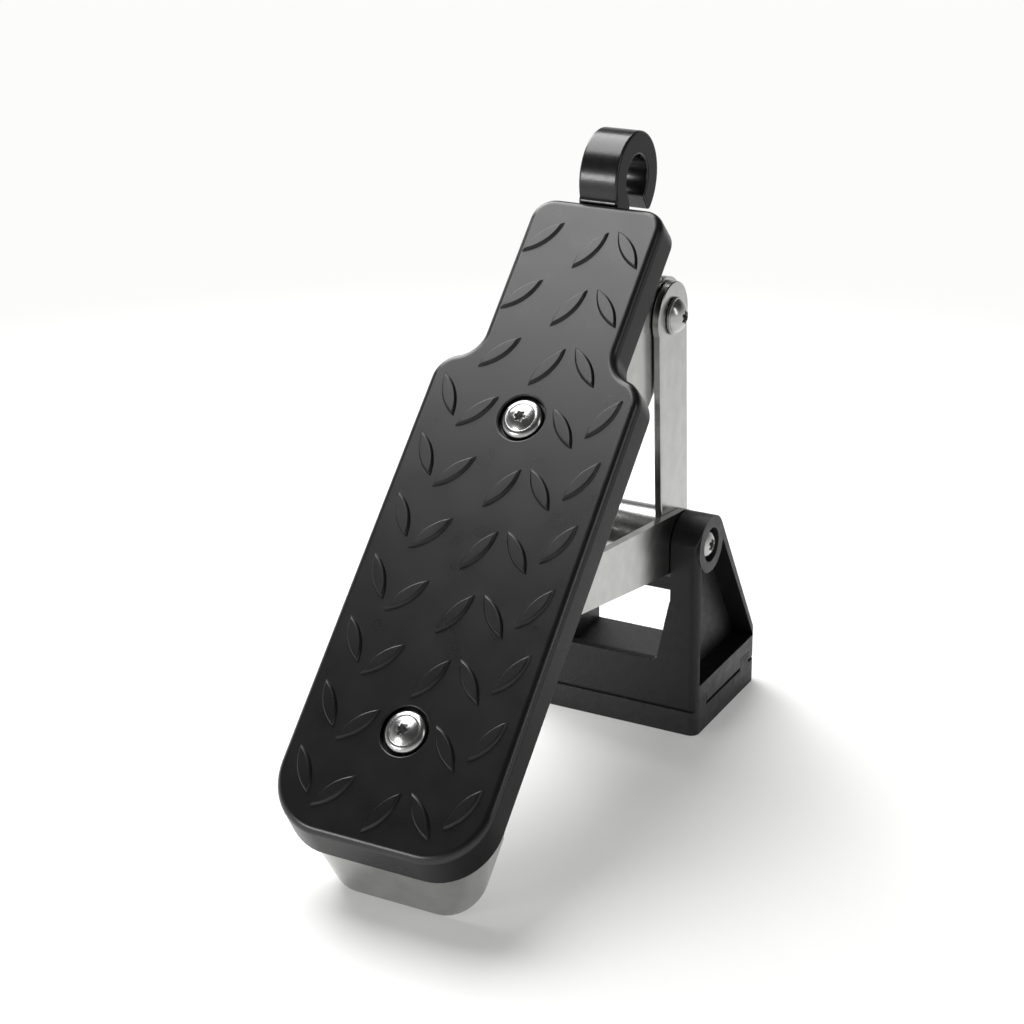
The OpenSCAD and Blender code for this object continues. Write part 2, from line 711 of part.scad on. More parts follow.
// Cuts that round the upright corners of foot and sole
corner_r = 3;
module corner_rounds(z0, h) {
    mirror_pair() for (back_end = [0, 1])
        translate([foot_out, back_end * foot_len, z0]) mirror([0, back_end, 0])
            difference() {
                translate([-corner_r, -1, 0]) cube([corner_r + 1, corner_r + 1, h]);
                translate([-corner_r, corner_r, -1]) cylinder(r = corner_r, h = h + 2);
            }
}
module rubber_sole() {
    color(rubber_c) at_foot() union() {
        difference() {
            translate([-foot_out, 0, 0]) cube([foot_w, foot_len, sole_t - seat_gap]);
            corner_rounds(-1, sole_t + 2);
        }
        mirror_pair() for (tab = TABS) difference() {
            translate([foot_out - tab_t, tab[0], sole_t - 1]) cube([tab_t, tab[1], tab_h + 1]);
            corner_rounds(0, 40);
        }
    }
}

tread_pad();
frame_pan();
hinge_channel();
hook();
hook_rivets();
cup_washer(screw_s[1]);  // cup_washer_upper
cup_washer(screw_s[0]);  // cup_washer_lower
tread_screw(screw_s[1]);  // tread_screw_upper
tread_screw(screw_s[0]);  // tread_screw_lower
tread_nut(screw_s[1]);  // tread_nut_upper
tread_nut(screw_s[0]);  // tread_nut_lower
upper_axle_tube();
mirror([1, 0, 0]) upper_screw();  // upper_screw_left
upper_screw();  // upper_screw_right
upper_washers();
mirror([1, 0, 0]) strut_bar();  // strut_left
strut_bar();  // strut_right
lower_axle_tube();
mirror([1, 0, 0]) lower_screw();  // lower_screw_left
lower_screw();  // lower_screw_right
lower_washers();
link_channel();
slide_pin();
slide_bushes();
slide_clips();
foot_bracket();
rubber_sole();
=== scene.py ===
"""Folding door latch step: finished surfaces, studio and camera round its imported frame."""
import math

import bmesh
import bpy
from mathutils import Matrix, Vector


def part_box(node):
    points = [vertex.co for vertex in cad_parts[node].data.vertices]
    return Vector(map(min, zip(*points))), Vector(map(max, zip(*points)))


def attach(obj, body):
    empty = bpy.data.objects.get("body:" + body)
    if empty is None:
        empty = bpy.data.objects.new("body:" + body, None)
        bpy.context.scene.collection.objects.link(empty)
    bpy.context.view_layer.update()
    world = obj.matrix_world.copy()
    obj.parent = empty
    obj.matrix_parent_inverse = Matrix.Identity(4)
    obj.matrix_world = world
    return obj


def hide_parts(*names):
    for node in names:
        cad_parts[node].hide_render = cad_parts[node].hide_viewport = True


MM = 0.001

# Pad outline in the pedal frame, in mm: x across, y up the pad, z out of the tread
PAD_END = -17.5
PAD_TOP = 194.0
PAD_HALF = 35.0
NECK_HALF = 22.5
SHOULDER = (128.0, 145.0)
LOW_CORNER_R = 18.5
TOP_CORNER_R = 7.5
# Share of the shoulder that its two curves take; a short straight stays between them
SHOULDER_SHARE = 0.96
PAD_T = 11.3
RIM_R = 2.6
END_LEAN = 2.5

# Tread lugs: place across, shift in rows, turn, first row
LUG_COLUMNS = (
    (-26.0, 0.0, 30, 4),
    (-14.8, 0.2, -42, 1),
    (2.2, 0.32, -30, 1),
    (14.2, 0.24, 40, 1),
    (26.0, 0.0, -29, 4),
)
LUG_ROWS = 10
ROW_PITCH = 20.4
LUG_LEN = 16.0
LUG_W = 4.6
LUG_H = 0.9
LUG_SMOOTH_DEG = 38
# A lug starts below the face; each step up from there has its rise and its inset
LUG_BASE = -0.4
LUG_STEPS = ((0.42, 0.0), (0.55, 0.3), (0.12, 0.1), (0.2, 0.28), (0.03, 0.12))

# Tread screws and their recesses
SCREW_Y = (17.7, 118.6)
RECESS_R = 7.5
RECESS_DEPTH = 2.2
SCREW_BORE_R = 2.7

# Hook
HOOK_X = -2.0
HOOK_W = 13.2
HOOK_CENTRE = (208.5, -8.3)
HOOK_R = 15.0
THROAT_R = 7.6
HOOK_TIP_DEG = -98
HOOK_STEM_DEG = 150
TANG_LEN = 22.0
TANG_T = 9.4
TANG_Z = -13.1
HOOK_EDGE = 1.2
# Back edge and front edge of each section of the stem and the tang
STEM_SECTIONS = (
    ((200.9, -7.5), (194.9, -1.05)),
    ((200.0, -9.8), (194.6, -1.25)),
    ((195.0, -13.1), (194.4, -1.45)),
    ((194.2, -13.1), (194.2, -3.7)),
    ((172.0, -13.1), (172.0, -3.7)),
)

# Foot: inside of the ears, walls, the groove above the sole, and the cross rib
FOOT_IN = 25.0
FRONT_WALL = 3.05
PLATE_Z = 11.0
WINDOW_Z = 30.0
SOLE_T = 8.5
GROOVE_H = 1.1
GROOVE_IN = 0.8
RIB_Y = (12.8, 16.8)
RIB_Z = (45.0, 49.5)
FOOT_EDGE = 0.8

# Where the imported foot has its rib, with some air round it
OLD_RIB_Y = (11.0, 19.0)
OLD_RIB_Z = (35.0, 45.0)

# Boss round the lower axle, with the seat of the screw head
BOSS_R = 9.3
HEAD_BORE_R = 5.7
HEAD_SEAT = 31.4
AXLE_BORE_R = 3.1
BOSS_SINK = 0.05

# Channel: round of the ears, where it meets the web, and where it meets the rails below
EAR_R = 12.0
EAR_TURN_DEG = 150
EAR_REACH = 7.0
WEB_DEPTH = 5.0
RAIL_MEET = (-58.0, -9.05)
CUT_REACH = (40.0, 30.0)

# Camera fitted to the photograph
CAMERA_MM = (299.42, -560.15, 347.64)
CAMERA_TURN_DEG = 28.582
CAMERA_RISE_DEG = 21.939
CAMERA_ROLL_DEG = -0.68
LENS_MM = 79.32


# Helpers for nodes and colours


def colour(hex_code):
    """Linear RGBA from an sRGB hex value."""
    parts = [int(hex_code[i:i + 2], 16) / 255 for i in (1, 3, 5)]
    linear = [p / 12.92 if p <= 0.04045 else ((p + 0.055) / 1.055) ** 2.4 for p in parts]
    return (*linear, 1.0)


def add_node(tree, kind, settings=None, inputs=None):
    """Adds a node with its properties, and its inputs as values or as sockets to link."""
    node = tree.nodes.new(kind)
    for name, value in (settings or {}).items():
        setattr(node, name, value)
    for name, value in (inputs or {}).items():
        if isinstance(value, bpy.types.NodeSocket):
            tree.links.new(value, node.inputs[name])
        else:
            node.inputs[name].default_value = value
    return node


def per_mm(size):
    """Texture scale that gives features of this size in mm on Object coordinates in metres."""
    return 1 / (size * MM)


def new_material(name):
    """A material with its own node tree, its shader and its object coordinates."""
    material = bpy.data.materials.new(name)
    material.use_nodes = True
    tree = material.node_tree
    tree.nodes.clear()
    shader = add_node(tree, "ShaderNodeBsdfPrincipled")
    add_node(tree, "ShaderNodeOutputMaterial", inputs={"Surface": shader.outputs["BSDF"]})
    place = add_node(tree, "ShaderNodeTexCoord").outputs["Object"]
    return material, tree, shader, place


def blotches(tree, place, size, low, high, detail=3.0):
    """A noise of features of this size in mm, ranged from low to high."""
    noise = add_node(tree, "ShaderNodeTexNoise",
                     inputs={"Vector": place, "Scale": per_mm(size), "Detail": detail})
    ranged = add_node(tree, "ShaderNodeMapRange",
                      inputs={"Value": noise.outputs["Fac"], "From Min": 0.3, "From Max": 0.7,
                              "To Min": low, "To Max": high})
    return ranged.outputs["Result"]


def two_tone(tree, shader, factor, first, second):
    """Colours the shader between two tones."""
    mix = add_node(tree, "ShaderNodeMix", {"data_type": "RGBA"}, {"Factor": factor})
    mix.inputs[6].default_value = colour(first)
    mix.inputs[7].default_value = colour(second)
    tree.links.new(mix.outputs[2], shader.inputs["Base Color"])


def relief(tree, shader, height, depth):
    """Turns a height pattern into bump of this depth in mm."""
    bump = add_node(tree, "ShaderNodeBump", inputs={"Height": height, "Distance": depth * MM})
    tree.links.new(bump.outputs["Normal"], shader.inputs["Normal"])


def pad_gloss(tree, shader, wall, face):
    """Full gloss on the tread face, less on the walls that the coarse side of the mould leaves."""
    facing = add_node(tree, "ShaderNodeTexCoord").outputs["Normal"]
    rise = add_node(tree, "ShaderNodeVectorMath", {"operation": "DOT_PRODUCT"},
                    {0: facing, 1: PEDAL.to_3x3().col[2].normalized()})
    gloss = add_node(tree, "ShaderNodeMapRange", {"interpolation_type": "SMOOTHSTEP"},
                     {"Value": rise.outputs["Value"], "From Min": 0.1, "From Max": 0.45,
                      "To Min": wall, "To Max": face})
    tree.links.new(gloss.outputs["Result"], shader.inputs["IOR"])


def bar_gloss(tree, shader, band, side):
    """Full gloss on the bent band of a bar, less on its two sheared sides."""
    facing = add_node(tree, "ShaderNodeTexCoord").outputs["Normal"]
    across = add_node(tree, "ShaderNodeSeparateXYZ", inputs={"Vector": facing})
    flat = add_node(tree, "ShaderNodeMath", {"operation": "ABSOLUTE"}, {0: across.outputs["X"]})
    gloss = add_node(tree, "ShaderNodeMapRange",
                     inputs={"Value": flat.outputs[0], "From Min": 0.75, "From Max": 0.98,
                             "To Min": band, "To Max": side})
    tree.links.new(gloss.outputs["Result"], shader.inputs["IOR"])


# Materials


def moulded_abs():
    """Black ABS from a finely eroded mould: satin, with a soft sheen and hardly any grain."""
    material, tree, shader, place = new_material("moulded_abs")
    two_tone(tree, shader, blotches(tree, place, 14, 0, 1), "#0b0b0b", "#0e0e0f")
    tree.links.new(blotches(tree, place, 9, 0.27, 0.31), shader.inputs["Roughness"])
    pad_gloss(tree, shader, 1.18, 1.5)
    relief(tree, shader, blotches(tree, place, 0.35, 0, 1, 2.0), 0.004)
    return material


def moulded_nylon():
    """Glass filled nylon from a spark eroded mould: matt black with a visible fine grain."""
    material, tree, shader, place = new_material("moulded_nylon")
    two_tone(tree, shader, blotches(tree, place, 1.1, 0, 1), "#0d0d0e", "#131315")
    tree.links.new(blotches(tree, place, 3, 0.42, 0.54), shader.inputs["Roughness"])
    shader.inputs["IOR"].default_value = 1.42
    relief(tree, shader, blotches(tree, place, 0.5, 0, 1, 4.0), 0.03)
    return material


def satin_enamel():
    """Baked black enamel on forged steel: even, satin, with broad soft highlights."""
    material, tree, shader, place = new_material("satin_enamel")
    two_tone(tree, shader, blotches(tree, place, 5, 0, 1), "#101011", "#151516")
    tree.links.new(blotches(tree, place, 2.5, 0.21, 0.26), shader.inputs["Roughness"])
    bar_gloss(tree, shader, 1.52, 1.15)
    relief(tree, shader, blotches(tree, place, 0.9, 0, 1, 1.0), 0.006)
    return material


def tumbled_steel():
    """Stainless sheet, cut and tumbled: light grey satin that spreads its highlights."""
    material, tree, shader, place = new_material("tumbled_steel")
    two_tone(tree, shader, blotches(tree, place, 6, 0, 1), "#a3a3a1", "#aeaeac")
    tree.links.new(blotches(tree, place, 4, 0.21, 0.25), shader.inputs["Roughness"])
    shader.inputs["Metallic"].default_value = 1.0
    relief(tree, shader, blotches(tree, place, 0.4, 0, 1, 1.0), 0.001)
    return material


def polished_steel():
    """Turned and polished steel: bright, with sharp light and dark lines."""
    material, tree, shader, place = new_material("polished_steel")
    two_tone(tree, shader, blotches(tree, place, 12, 0, 1), "#a9a9a8", "#b0b0af")
    tree.links.new(blotches(tree, place, 12, 0.24, 0.26), shader.inputs["Roughness"])
    shader.inputs["Metallic"].default_value = 1.0
    return material


def sole_rubber():
    """Moulded black rubber: dull, with a faint bloom and a soft grain."""
    material, tree, shader, place = new_material("sole_rubber")
    two_tone(tree, shader, blotches(tree, place, 4, 0, 1), "#0f0f10", "#171717")
    tree.links.new(blotches(tree, place, 2.5, 0.55, 0.68), shader.inputs["Roughness"])
    shader.inputs["IOR"].default_value = 1.52
    relief(tree, shader, blotches(tree, place, 0.6, 0, 1, 3.0), 0.025)
    return material


# Helpers for meshes


def pedal_matrix(nodes):
    """From the pedal's own frame in mm to the part's frame in metres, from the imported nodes."""
    low, high = (sum(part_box(n), Vector()) / 2 for n in ("tread_screw_lower", "tread_screw_upper"))
    lean = Matrix.Rotation(math.atan2(high.z - low.z, high.y - low.y), 4, "X")
    corners = [lean.inverted() @ v.co for v in nodes["tread_pad"].data.vertices]
    end = min(c.y for c in corners) - (PAD_END - END_LEAN) * MM
    face = max(c.z for c in corners) - LUG_H * MM
    return lean @ Matrix.Translation((0, end, face)) @ Matrix.Scale(MM, 4)


def to_object(bm, name, matrix=None):
    """Moves a mesh to its place and links it as an object at the origin."""
    if matrix is not None:
        bmesh.ops.transform(bm, matrix=matrix, verts=bm.verts)
    mesh = bpy.data.meshes.new(name)
    bm.to_mesh(mesh)
    bm.free()
    piece = bpy.data.objects.new(name, mesh)
    bpy.context.scene.collection.objects.link(piece)
    return piece


def round_edges(piece, width, segments=2, angle=32):
    """Rounds the sharp edges by this width in mm and smooths the shading between them."""
    bevel = piece.modifiers.new("edges", "BEVEL")
    bevel.width = width * MM
    bevel.segments = segments
    bevel.limit_method = "ANGLE"
    bevel.angle_limit = math.radians(angle)
    smooth_shading(piece)


def smooth_shading(piece, angle=32):
    """Smooth faces that meet at a sharp angle only where an edge is left sharp."""
    piece.data.polygons.foreach_set("use_smooth", [True] * len(piece.data.polygons))
    piece.data.set_sharp_from_angle(angle=math.radians(angle))
    normals = piece.modifiers.new("normals", "WEIGHTED_NORMAL")
    normals.keep_sharp = True


def dress(piece, body, slot, material, *nodes):
    """Gives a finished piece its material, its body and the nodes that it stands for."""
    piece.data.materials.clear()
    piece.data.materials.append(material)
    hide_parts(*nodes)
    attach(piece, body)
    return piece


def merged_copy(node):
    """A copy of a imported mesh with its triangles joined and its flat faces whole."""
    bm = bmesh.new()
    bm.from_mesh(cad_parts[node].data)
    bmesh.ops.remove_doubles(bm, verts=bm.verts, dist=2e-6)
    bmesh.ops.dissolve_limit(bm, angle_limit=math.radians(0.6), verts=bm.verts, edges=bm.edges)
    return to_object(bm, node + "_finish")


def carve(piece, cutter):
    """Cuts the cutter's shape out of the piece and drops the cutter."""
    cut = piece.modifiers.new("cut", "BOOLEAN")
    cut.operation = "DIFFERENCE"
    cut.solver = "EXACT"
    cut.object = cutter
    shapes = bpy.context.evaluated_depsgraph_get()
    mesh = bpy.data.meshes.new_from_object(piece.evaluated_get(shapes))
    piece.modifiers.clear()
    old = piece.data
    piece.data = mesh
    bpy.data.meshes.remove(old)
    bpy.data.objects.remove(cutter)


def turned(bm, profile, centre, steps=64):
    """Spins a profile of (radius, height) points round the upright axis at centre."""
    first = [bm.verts.new((centre[0] + r, centre[1], z)) for r, z in profile]
    edges = [bm.edges.new(pair) for pair in zip(first, first[1:])]
    bmesh.ops.spin(bm, geom=first + edges, cent=(centre[0], centre[1], 0), axis=(0, 0, 1),
                   angle=math.tau, steps=steps, use_merge=True)


# Pieces


def pad_plate(bm):
    """The pad without its lugs: a rounded outline, raised, with its rim and end finished."""
    rise = SHOULDER[1] - SHOULDER[0]
    step = PAD_HALF - NECK_HALF
    turn_r = (rise * rise + step * step) / (4 * step)
    tangent = turn_r * step / rise
    corners = (
        (PAD_HALF, PAD_END, LOW_CORNER_R, 14),
        (PAD_HALF, SHOULDER[0] + tangent, tangent * SHOULDER_SHARE, 10),
        (NECK_HALF, SHOULDER[1] - tangent, tangent * SHOULDER_SHARE, 10),
        (NECK_HALF, PAD_TOP, TOP_CORNER_R, 10),
    )
    right = [(bm.verts.new((x, y, -PAD_T)), size, n) for x, y, size, n in corners]
    left = [(bm.verts.new((-v.co.x, v.co.y, v.co.z)), size, n) for v, size, n in reversed(right)]
    bm.faces.new([v for v, size, n in right + left])
    for vert, size, count in right + left:
        bmesh.ops.bevel(bm, geom=[vert], offset=size, offset_type="OFFSET", affect="VERTICES",
                        segments=count, profile=0.5, material=-1)
    raised = bmesh.ops.extrude_face_region(bm, geom=bm.faces[:])["geom"]
    top = [g for g in raised if isinstance(g, bmesh.types.BMVert)]
    bmesh.ops.translate(bm, verts=top, vec=(0, 0, PAD_T))
    bmesh.ops.recalc_face_normals(bm, faces=bm.faces)
    rim = [e for e in bm.edges if all(abs(v.co.z) < 0.001 for v in e.verts)]
    bmesh.ops.bevel(bm, geom=rim, offset=RIM_R, offset_type="OFFSET", affect="EDGES",
                    segments=8, profile=0.5, material=-1)
    low_end = [v for v in bm.verts
               if v.co.z < -PAD_T + 0.001 and v.co.y < PAD_END + LOW_CORNER_R + 0.001]
    bmesh.ops.translate(bm, verts=low_end, vec=(0, -END_LEAN, 0))
    base = [e for e in bm.edges if all(v.co.z < -PAD_T + 0.001 for v in e.verts)]
    bmesh.ops.bevel(bm, geom=base, offset=0.6, offset_type="OFFSET", affect="EDGES",
                    segments=3, profile=0.5, material=-1)


def lug_mesh():
    """One leaf-shaped lug: two arcs that meet in points, with steep sides and a flat top."""
    half, side = LUG_LEN / 2, LUG_W / 2
    radius = (half * half + side * side) / (2 * side)
    bm = bmesh.new()
    for sign in (1, -1):
        tip = bm.verts.new((0, -half * sign, LUG_BASE))
        bmesh.ops.spin(bm, geom=[tip], cent=(sign * (side - radius), 0, 0), axis=(0, 0, 1),
                       angle=2 * math.asin(half / radius), steps=14)
    bmesh.ops.remove_doubles(bm, verts=bm.verts, dist=0.01)
    bmesh.ops.edgeloop_fill(bm, edges=bm.edges)
    top = bm.faces[:][0]
    for rise, inset in LUG_STEPS:
        grown = bmesh.ops.extrude_face_region(bm, geom=[top])["geom"]
        ring = [g for g in grown if isinstance(g, bmesh.types.BMVert)]
        top = [g for g in grown if isinstance(g, bmesh.types.BMFace)][0]
        width, length = (max(v.co[axis] for v in ring) for axis in (0, 1))
        bmesh.ops.scale(bm, verts=ring, vec=(1 - inset / width, 1 - 2 * inset / length, 1))
        bmesh.ops.translate(bm, verts=ring, vec=(0, 0, rise))
    bmesh.ops.recalc_face_normals(bm, faces=bm.faces)
    mesh = bpy.data.meshes.new("lug")
    bm.to_mesh(mesh)
    bm.free()
    return mesh


def lug_places():
    """Place and turn of every lug; none stands in a screw recess."""
    for x, shift, turn, first in LUG_COLUMNS:
        for row in range(first, LUG_ROWS + 1):
            y = (LUG_ROWS - row - shift) * ROW_PITCH
            if min(math.hypot(x, y - s) for s in SCREW_Y) > RECESS_R:
                yield x, y, turn


def recess_cutter():
    """What the two screw recesses and their bores take out; its flare leaves a rounded lip."""
    lip = 0.5
    flare = [(RECESS_R + lip * (1 - math.cos(a)), -lip * (1 - math.sin(a)))
             for a in (math.radians(15 * i) for i in range(7))]
    bm = bmesh.new()
    for y in SCREW_Y:
        profile = ([(0, -PAD_T - 2), (SCREW_BORE_R, -PAD_T - 2), (SCREW_BORE_R, -RECESS_DEPTH),
                    (RECESS_R, -RECESS_DEPTH)] + flare + [(RECESS_R + lip, 2), (0, 2)])
        turned(bm, profile, (0, y))
    bmesh.ops.remove_doubles(bm, verts=bm.verts, dist=0.001)
    bmesh.ops.recalc_face_normals(bm, faces=bm.faces)
    return to_object(bm, "recess_cutter", PEDAL)


def pocket_cutter():
    """What the pocket for the hook's tang takes out of the pad's top end."""
    bm = bmesh.new()
    bmesh.ops.create_cube(bm, size=1)
    bmesh.ops.scale(bm, vec=(HOOK_W + 0.4, TANG_LEN + 5, TANG_T + 1.2), verts=bm.verts)
    middle = (HOOK_X, PAD_TOP - TANG_LEN / 2 + 2.3, TANG_Z - 1 + (TANG_T + 1.2) / 2)
    bmesh.ops.translate(bm, vec=middle, verts=bm.verts)
    return to_object(bm, "pocket_cutter", PEDAL)


def tread_pad(material):
    """Moulded pad with its recesses, the pocket for the hook and its leaf-shaped lugs."""
    bm = bmesh.new()
    pad_plate(bm)
    plate = to_object(bm, "tread_plate", PEDAL)
    carve(plate, recess_cutter())
    carve(plate, pocket_cutter())
    bm = bmesh.new()
    one = lug_mesh()
    for x, y, turn in lug_places():
        start = len(bm.verts)
        bm.from_mesh(one)
        place = Matrix.Translation((x, y, 0)) @ Matrix.Rotation(math.radians(turn), 4, "Z")
        bmesh.ops.transform(bm, matrix=place, verts=bm.verts[:][start:])
    bmesh.ops.transform(bm, matrix=PEDAL, verts=bm.verts)
    bm.from_mesh(plate.data)
    bpy.data.objects.remove(plate)
    bpy.data.meshes.remove(one)
    piece = to_object(bm, "tread_pad_finish")
    smooth_shading(piece, LUG_SMOOTH_DEG)
    return dress(piece, "pedal", "pad_plastic", material, "tread_pad")


def hook(material):
    """Forged hook: a flat bar bent round the throat, with its stem and tang, edges rounded."""
    y0, z0 = HOOK_CENTRE
    half = HOOK_W / 2
    angle = math.radians(HOOK_TIP_DEG)
    radii = (THROAT_R, HOOK_R)
    ends = [(y0 + r * math.cos(angle), z0 + r * math.sin(angle)) for r in radii]
    bm = bmesh.new()
    corners = [(-half, *ends[0]), (half, *ends[0]), (half, *ends[1]), (-half, *ends[1])]
    section = bm.faces.new([bm.verts.new(c) for c in corners])
    sweep = math.radians(HOOK_STEM_DEG - HOOK_TIP_DEG)
    spun = bmesh.ops.spin(bm, geom=[section], cent=(0, y0, z0), axis=(1, 0, 0),
                          angle=sweep, steps=36)["geom_last"]
    last = [g for g in spun if isinstance(g, bmesh.types.BMFace)][0]
    for back, front in STEM_SECTIONS:
        grown = bmesh.ops.extrude_face_region(bm, geom=[last])["geom"]
        verts = [g for g in grown if isinstance(g, bmesh.types.BMVert)]
        last = [g for g in grown if isinstance(g, bmesh.types.BMFace)][0]
        centre = sum((v.co for v in verts), Vector()) / 4
        fronts = sorted(verts, key=lambda v: (v.co - centre).z - (v.co - centre).y, reverse=True)
        for v in fronts[:2]:
            v.co.y, v.co.z = front
        for v in fronts[2:]:
            v.co.y, v.co.z = back
    bmesh.ops.translate(bm, verts=bm.verts, vec=(HOOK_X, 0, 0))
    bmesh.ops.recalc_face_normals(bm, faces=bm.faces)
    piece = to_object(bm, "hook_finish", PEDAL)
    round_edges(piece, HOOK_EDGE, 4, 40)
    return dress(piece, "pedal", "black_enamel", material, "hook")


def block(low, high):
    """A box between two corners given in mm in the part's frame."""
    bm = bmesh.new()
    bmesh.ops.create_cube(bm, size=1)
    low, high = Vector(low) * MM, Vector(high) * MM
    bmesh.ops.scale(bm, vec=high - low, verts=bm.verts)
    bmesh.ops.translate(bm, vec=(low + high) / 2, verts=bm.verts)
    return to_object(bm, "block")


def add_to(piece, other):
    """Joins another closed form to the piece."""
    bm = bmesh.new()
    bm.from_mesh(piece.data)
    bm.from_mesh(other.data)
    bm.to_mesh(piece.data)
    bm.free()
    bpy.data.objects.remove(other)


def axle_boss(side, reach):
    """Solid round boss in one ear, bored for the screw head that sits in it."""
    centre = sum(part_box("lower_axle_tube"), Vector()) / 2
    bm = bmesh.new()
    ring = [(BOSS_R, FOOT_IN), (BOSS_R, reach), (HEAD_BORE_R, reach), (HEAD_BORE_R, HEAD_SEAT),
            (AXLE_BORE_R, HEAD_SEAT), (AXLE_BORE_R, FOOT_IN)]
    first = [bm.verts.new((x, 0, r)) for r, x in ring]
    edges = [bm.edges.new((a, b)) for a, b in zip(first, first[1:] + first[:1])]
    bmesh.ops.spin(bm, geom=first + edges, cent=(0, 0, 0), axis=(1, 0, 0), angle=math.tau,
                   steps=64, use_merge=True)
    bmesh.ops.scale(bm, vec=(side, 1, 1), verts=bm.verts)
    bmesh.ops.recalc_face_normals(bm, faces=bm.faces)
    place = Matrix.Translation((0, centre.y, centre.z)) @ Matrix.Scale(MM, 4)
    return to_object(bm, "axle_boss", place)


def foot_bracket(material):
    """Moulded foot, open at the back above its plate, with a groove above the sole."""
    piece = merged_copy("foot_bracket")
    low, high = (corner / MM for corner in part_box("foot_bracket"))
    front, rear, half = low.y, high.y, high.x
    carve(piece, block((-FOOT_IN, front + FRONT_WALL, PLATE_Z), (FOOT_IN, rear + 1, WINDOW_Z)))
    carve(piece, block((-FOOT_IN, front + OLD_RIB_Y[0], OLD_RIB_Z[0]),
                       (FOOT_IN, front + OLD_RIB_Y[1], OLD_RIB_Z[1])))
    groove = block((-half - 2, front - 2, SOLE_T), (half + 2, rear + 2, SOLE_T + GROOVE_H))
    core = half - GROOVE_IN
    carve(groove, block((-core, front + GROOVE_IN, SOLE_T - 1),
                        (core, rear - GROOVE_IN, SOLE_T + 2)))
    carve(piece, groove)
    add_to(piece, block((-FOOT_IN, front + RIB_Y[0], RIB_Z[0]),
                        (FOOT_IN, front + RIB_Y[1], RIB_Z[1])))
    for side in (-1, 1):
        add_to(piece, axle_boss(side, half - BOSS_SINK))
    round_edges(piece, FOOT_EDGE, 3)
    return dress(piece, "foot", "foot_plastic", material, "foot_bracket")


def hinge_channel(material):
    """Folded channel whose ears are cut round close to the strut's head."""
    piece = merged_copy("hinge_channel")
    axle = PEDAL.inverted() @ (sum(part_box("upper_axle_tube"), Vector()) / 2)
    y, z = axle.y, axle.z
    bm = bmesh.new()
    low = bm.verts.new((-PAD_HALF, y, z - EAR_R))
    end = bmesh.ops.spin(bm, geom=[low], cent=(0, y, z), axis=(1, 0, 0),
                         angle=math.radians(EAR_TURN_DEG), steps=24)["geom_last"][0]
    rail, web = y + RAIL_MEET[0], -PAD_T - WEB_DEPTH
    far_y, far_z = y + CUT_REACH[0], z - CUT_REACH[1]
    corners = ((y + EAR_REACH, web), (far_y, web), (far_y, far_z), (rail, far_z),
               (rail, z + RAIL_MEET[1]))
    outer = [bm.verts.new((-PAD_HALF, *corner)) for corner in corners]
    for pair in zip([end] + outer, outer + [low]):
        bm.edges.new(pair)
    side = bmesh.ops.edgeloop_fill(bm, edges=bm.edges)["faces"]
    grown = bmesh.ops.extrude_face_region(bm, geom=side)["geom"]
    far = [g for g in grown if isinstance(g, bmesh.types.BMVert)]
    bmesh.ops.translate(bm, vec=(2 * PAD_HALF, 0, 0), verts=far)
    bmesh.ops.recalc_face_normals(bm, faces=bm.faces)
    carve(piece, to_object(bm, "ear_cutter", PEDAL))
    round_edges(piece, 0.3)
    return dress(piece, "pedal", "satin_steel", material, "hinge_channel")


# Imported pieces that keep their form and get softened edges: node, body, slot, edge width
ROUNDED = (
    ("frame_pan", "pedal", "satin_steel", 0.35),
    ("hook_rivets", "pedal", "satin_steel", 0.15),
    ("cup_washer_upper", "pedal", "bright_steel", 0.12),
    ("cup_washer_lower", "pedal", "bright_steel", 0.12),
    ("tread_screw_upper", "pedal", "bright_steel", 0.12),
    ("tread_screw_lower", "pedal", "bright_steel", 0.12),
    ("tread_nut_upper", "pedal", "bright_steel", 0.2),
    ("tread_nut_lower", "pedal", "bright_steel", 0.2),
    ("upper_axle_tube", "pedal", "bright_steel", 0.3),
    ("upper_screw_left", "pedal", "bright_steel", 0.15),
    ("upper_screw_right", "pedal", "bright_steel", 0.15),
    ("upper_washers", "pedal", "bright_steel", 0.15),
    ("strut_left", "strut", "satin_steel", 0.35),
    ("strut_right", "strut", "satin_steel", 0.35),
    ("lower_axle_tube", "strut", "bright_steel", 0.3),
    ("lower_screw_left", "strut", "bright_steel", 0.15),
    ("lower_screw_right", "strut", "bright_steel", 0.15),
    ("lower_washers", "strut", "bright_steel", 0.15),
    ("link_channel", "link", "satin_steel", 0.35),
    ("slide_pin", "link", "bright_steel", 0.2),
    ("slide_bushes", "link", "bright_steel", 0.15),
    ("slide_clips", "link", "bright_steel", 0.1),
    ("rubber_sole", "foot", "sole_rubber", 0.6),
)


def rounded_pieces(materials):
    """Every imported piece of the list, with softened edges and its finish."""
    for node, body, slot, width in ROUNDED:
        piece = merged_copy(node)
        round_edges(piece, width)
        dress(piece, body, slot, materials[slot], node)


# Studio


